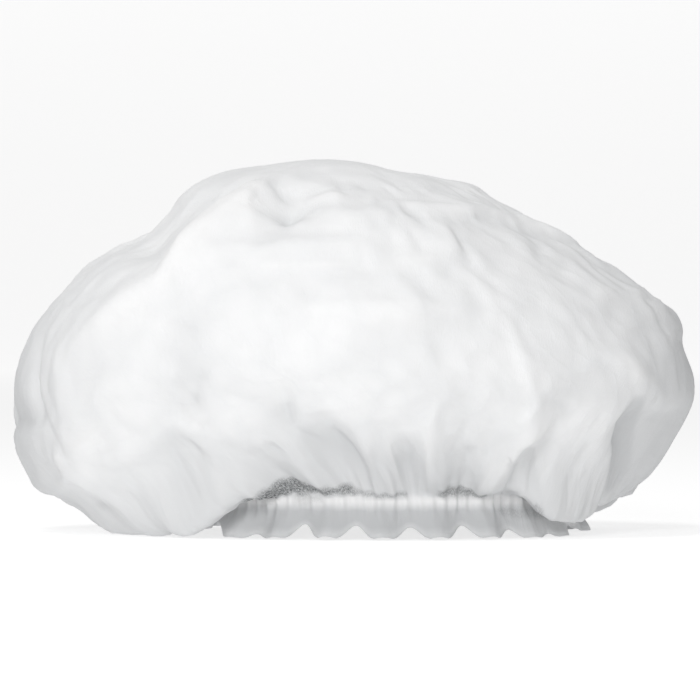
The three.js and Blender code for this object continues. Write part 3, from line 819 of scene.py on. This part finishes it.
def add_facets(tree, vector, scale):
    """Bent facets with sharp creases between them: distances to scattered points, warped by a noise."""
    warp = tree.nodes.new("ShaderNodeTexNoise")
    warp.inputs["Scale"].default_value = scale * 0.9
    warp.inputs["Detail"].default_value = 2.0
    tree.links.new(vector, warp.inputs["Vector"])
    shift = tree.nodes.new("ShaderNodeVectorMath")
    shift.operation = "MULTIPLY_ADD"
    shift.inputs[1].default_value = (0.6 / scale, 0.6 / scale, 0)
    tree.links.new(warp.outputs["Color"], shift.inputs[0])
    tree.links.new(vector, shift.inputs[2])
    cells = tree.nodes.new("ShaderNodeTexVoronoi")
    cells.inputs["Scale"].default_value = scale
    tree.links.new(shift.outputs["Vector"], cells.inputs["Vector"])
    return cells.outputs["Distance"]


def add_mix(tree, factor, first, second):
    node = tree.nodes.new("ShaderNodeMix")
    node.data_type = "RGBA"
    tree.links.new(factor, node.inputs["Factor"])
    for socket, value in ((node.inputs[6], first), (node.inputs[7], second)):
        if isinstance(value, bpy.types.NodeSocket):
            tree.links.new(value, socket)
        else:
            socket.default_value = (*value, 1)
    return node.outputs[2]


def non_woven_group():
    """Spunbond cloth over its flat cut, in metres: soft facets, fine fibres and the speckle of open cloth."""
    group, given, made = new_group(
        "non_woven", ["Cut"], {"Facets": "Float", "Fibres": "Float", "Speckle": "Float", "Height": "Float"}
    )
    cut = given.outputs["Cut"]
    wide = add_facets(group, cut, 34)
    narrow = add_facets(group, cut, 95)
    facets = add_math(group, "ADD", add_math(group, "MULTIPLY", wide, 0.65), add_math(group, "MULTIPLY", narrow, 0.35))
    turned = group.nodes.new("ShaderNodeMapping")
    turned.inputs["Rotation"].default_value = (0, 0, 0.6)
    turned.inputs["Scale"].default_value = (1.0, 0.22, 1.0)
    group.links.new(cut, turned.inputs["Vector"])
    crossed = group.nodes.new("ShaderNodeMapping")
    crossed.inputs["Rotation"].default_value = (0, 0, -0.9)
    crossed.inputs["Scale"].default_value = (1.0, 0.22, 1.0)
    group.links.new(cut, crossed.inputs["Vector"])
    fibres = add_math(
        group, "MAXIMUM",
        add_noise(group, turned.outputs["Vector"], 1500, 2, 0.6, 0.6),
        add_noise(group, crossed.outputs["Vector"], 1500, 2, 0.6, 0.6),
    )
    speckle = add_range(group, add_noise(group, cut, 1100, 2, 0.75), 0.42, 0.60)
    height = add_math(
        group, "ADD", add_math(group, "MULTIPLY", facets, 1.0), add_math(group, "MULTIPLY", fibres, 0.12)
    )
    for label, value in (("Facets", facets), ("Fibres", fibres), ("Speckle", speckle), ("Height", height)):
        group.links.new(value, made.inputs[label])
    return group


def read_attribute(tree, name):
    node = tree.nodes.new("ShaderNodeAttribute")
    node.attribute_name = name
    return node.outputs["Fac"]


def finish_cloth(material, nodes, links, surface, colour, height, bump_height):
    """The cloth's bump, and the light that comes through it."""
    bump = nodes.new("ShaderNodeBump")
    bump.inputs["Strength"].default_value = 0.8
    bump.inputs["Distance"].default_value = bump_height
    links.new(height, bump.inputs["Height"])
    links.new(bump.outputs["Normal"], surface.inputs["Normal"])
    links.new(colour, surface.inputs["Base Color"])
    surface.inputs["Specular IOR Level"].default_value = 0.15
    through = nodes.new("ShaderNodeBsdfTranslucent")
    links.new(colour, through.inputs["Color"])
    links.new(bump.outputs["Normal"], through.inputs["Normal"])
    mix = nodes.new("ShaderNodeMixShader")
    mix.inputs["Fac"].default_value = 0.25
    links.new(surface.outputs["BSDF"], mix.inputs[1])
    links.new(through.outputs["BSDF"], mix.inputs[2])
    links.new(mix.outputs["Shader"], nodes["Material Output"].inputs["Surface"])
    return material


def add_non_woven(material, cloth):
    """The cloth group in a material, reading the flat cut's coordinates."""
    tree = material.node_tree
    cut = tree.nodes.new("ShaderNodeUVMap")
    cut.uv_map = "cut"
    woven = tree.nodes.new("ShaderNodeGroup")
    woven.node_tree = cloth
    tree.links.new(cut.outputs["UV"], woven.inputs["Cut"])
    return tree, woven.outputs


def crown_material(cloth):
    """White non-woven cloth with painted light and shade: painted shade over its crumpled facets and in creases, a
    painted highlight on ridges, painted grey shade where it hangs free in front of the hollow, and the hollow's dark
    painted shade speckled through its windows.
    """
    material, nodes, links, surface = new_material("crown_cloth")
    tree, woven = add_non_woven(material, cloth)
    relief_shading, grey, shaded_window = (read_attribute(tree, name) for name in ("relief_shading", "grey", "shaded_window"))
    # Painted shade over each crumpled facet: the colour darkens away from the facet's middle.
    shade = add_mix(tree, add_range(tree, woven["Facets"], 0.15, 0.75), (0.955, 0.957, 0.96), (0.90, 0.905, 0.91))
    # Painted shade in the creases and dents, where the folds dip.
    painted_crease_shade = add_range(tree, relief_shading, -0.1, -1.6, 0.0, 0.35)
    shade = add_mix(tree, painted_crease_shade, shade, (0.66, 0.675, 0.685))
    # Painted highlight on the raised creases and folds.
    painted_ridge_highlight = add_range(tree, relief_shading, 0.25, 1.3, 0.0, 0.8)
    shade = add_mix(tree, painted_ridge_highlight, shade, (0.965, 0.965, 0.965))
    # Painted grey shade where the cloth hangs in front of the hollow, at the two ends and in the frill.
    shade = add_mix(tree, add_math(tree, "MULTIPLY", grey, 0.85), shade, (0.62, 0.63, 0.64))
    # The hollow's dark painted shade, speckled through the open fibres.
    hollow_shade_speckle = add_mix(tree, woven["Speckle"], (0.16, 0.165, 0.17), (0.62, 0.63, 0.635))
    shade = add_mix(tree, shaded_window, shade, hollow_shade_speckle)
    rough = add_range(tree, woven["Fibres"], 0.3, 0.8, 0.8, 0.95)
    links.new(rough, surface.inputs["Roughness"])
    return finish_cloth(material, nodes, links, surface, shade, woven["Height"], 0.0012)


def hem_material(cloth):
    """The same cloth on the turned-in edge, painted darker than the crown's cloth as shade inside the frill."""
    material, nodes, links, surface = new_material("hem_cloth")
    tree, woven = add_non_woven(material, cloth)
    # Painted shade: the turned-in edge is coloured darker than the crown.
    shade = add_mix(tree, woven["Fibres"], (0.62, 0.63, 0.635), (0.80, 0.81, 0.815))
    surface.inputs["Roughness"].default_value = 0.88
    return finish_cloth(material, nodes, links, surface, shade, woven["Height"], 0.0008)


def elastic_material():
    """A flat knitted elastic with fine ribs across it."""
    material, nodes, links, surface = new_material("elastic")
    tree = material.node_tree
    cut = nodes.new("ShaderNodeUVMap")
    cut.uv_map = "cut"
    threads = add_noise(tree, cut.outputs["UV"], 2200, 2, 0.6)
    shade = add_mix(tree, threads, (0.70, 0.69, 0.64), (0.86, 0.85, 0.81))
    links.new(shade, surface.inputs["Base Color"])
    surface.inputs["Roughness"].default_value = 0.6
    bump = nodes.new("ShaderNodeBump")
    bump.inputs["Strength"].default_value = 0.6
    bump.inputs["Distance"].default_value = 0.0003
    links.new(threads, bump.inputs["Height"])
    links.new(bump.outputs["Normal"], surface.inputs["Normal"])
    return material


def add_piece(piece, node, material):
    piece.data.materials.clear()
    piece.data.materials.append(material)
    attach(piece, "root")
    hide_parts(node)


def make_cap():
    crown = crown_sheet()
    hem = turned_hem()
    elastic = elastic_ring()
    cloth = non_woven_group()
    add_piece(crown, "crown", crown_material(cloth))
    add_piece(hem, "turned_hem", hem_material(cloth))
    add_piece(elastic, "elastic_band", elastic_material())


def make_studio():
    """A pale floor that curves up into a backdrop, and soft lights."""
    sweep = bmesh.new()
    bend, count = 0.6, 12
    profile = [(-4.0, 0.0), (6.0, 0.0)]
    for index in range(1, count + 1):
        angle = math.pi / 2 * index / count
        profile.append((6.0 + bend * math.sin(angle), bend - bend * math.cos(angle)))
    profile.append((6.0 + bend, 4.0))
    line = [sweep.verts.new((-5.0, y, z)) for y, z in profile]
    edges = [sweep.edges.new(pair) for pair in zip(line[:-1], line[1:])]
    made = bmesh.ops.extrude_edge_only(sweep, edges=edges)
    moved = [part for part in made["geom"] if isinstance(part, bmesh.types.BMVert)]
    bmesh.ops.translate(sweep, verts=moved, vec=(10.0, 0, 0))
    bmesh.ops.recalc_face_normals(sweep, faces=sweep.faces[:])
    for face in sweep.faces:
        face.smooth = True
    mesh = bpy.data.meshes.new("studio_sweep")
    sweep.to_mesh(mesh)
    sweep.free()
    floor = bpy.data.objects.new("studio_sweep", mesh)
    bpy.context.collection.objects.link(floor)
    material, nodes, links, surface = new_material("studio_white")
    surface.inputs["Base Color"].default_value = (0.45, 0.45, 0.45, 1)
    surface.inputs["Roughness"].default_value = 0.9
    surface.inputs["Specular IOR Level"].default_value = 0.0
    surface.inputs["Emission Color"].default_value = (1, 1, 1, 1)
    surface.inputs["Emission Strength"].default_value = 0.66
    mesh.materials.append(material)

    world = bpy.data.worlds.new("studio_air")
    world.use_nodes = True
    nodes, links = world.node_tree.nodes, world.node_tree.links
    air = nodes["Background"]
    air.inputs["Color"].default_value = (1, 1, 1, 1)
    seen = nodes.new("ShaderNodeLightPath")
    strength = nodes.new("ShaderNodeMapRange")
    strength.inputs["To Min"].default_value = 0.44
    strength.inputs["To Max"].default_value = 1.0
    links.new(seen.outputs["Is Camera Ray"], strength.inputs["Value"])
    links.new(strength.outputs["Result"], air.inputs["Strength"])
    bpy.context.scene.world = world

    soft_light("front_light", (-0.35, -2.3, 0.9), 0.8, 23)
    soft_light("top_light", (-0.5, -0.5, 2.0), 0.8, 14)


def soft_light(name, place, size, power):
    data = bpy.data.lights.new(name, "AREA")
    data.shape = "SQUARE"
    data.size = size
    data.energy = power
    light = bpy.data.objects.new(name, data)
    light.location = place
    light.rotation_euler = (Vector((0, 0, 0.06)) - Vector(place)).to_track_quat("-Z", "Y").to_euler()
    bpy.context.collection.objects.link(light)


def make_camera():
    data = bpy.data.cameras.new("camera")
    data.sensor_width = 36
    data.lens = 36 * CAMERA_DISTANCE / (PHOTO_PIXELS * PIXEL_SIZE)
    data.clip_end = 50
    camera = bpy.data.objects.new("camera", data)
    back = Vector((0, -math.cos(CAMERA_ELEVATION), math.sin(CAMERA_ELEVATION)))
    camera.location = VIEW_CENTRE + back * CAMERA_DISTANCE
    camera.rotation_euler = (-back).to_track_quat("-Z", "Y").to_euler()
    bpy.context.collection.objects.link(camera)
    bpy.context.scene.camera = camera


make_camera()
make_cap()
make_studio()
bpy.context.scene.view_settings.view_transform = "Standard"
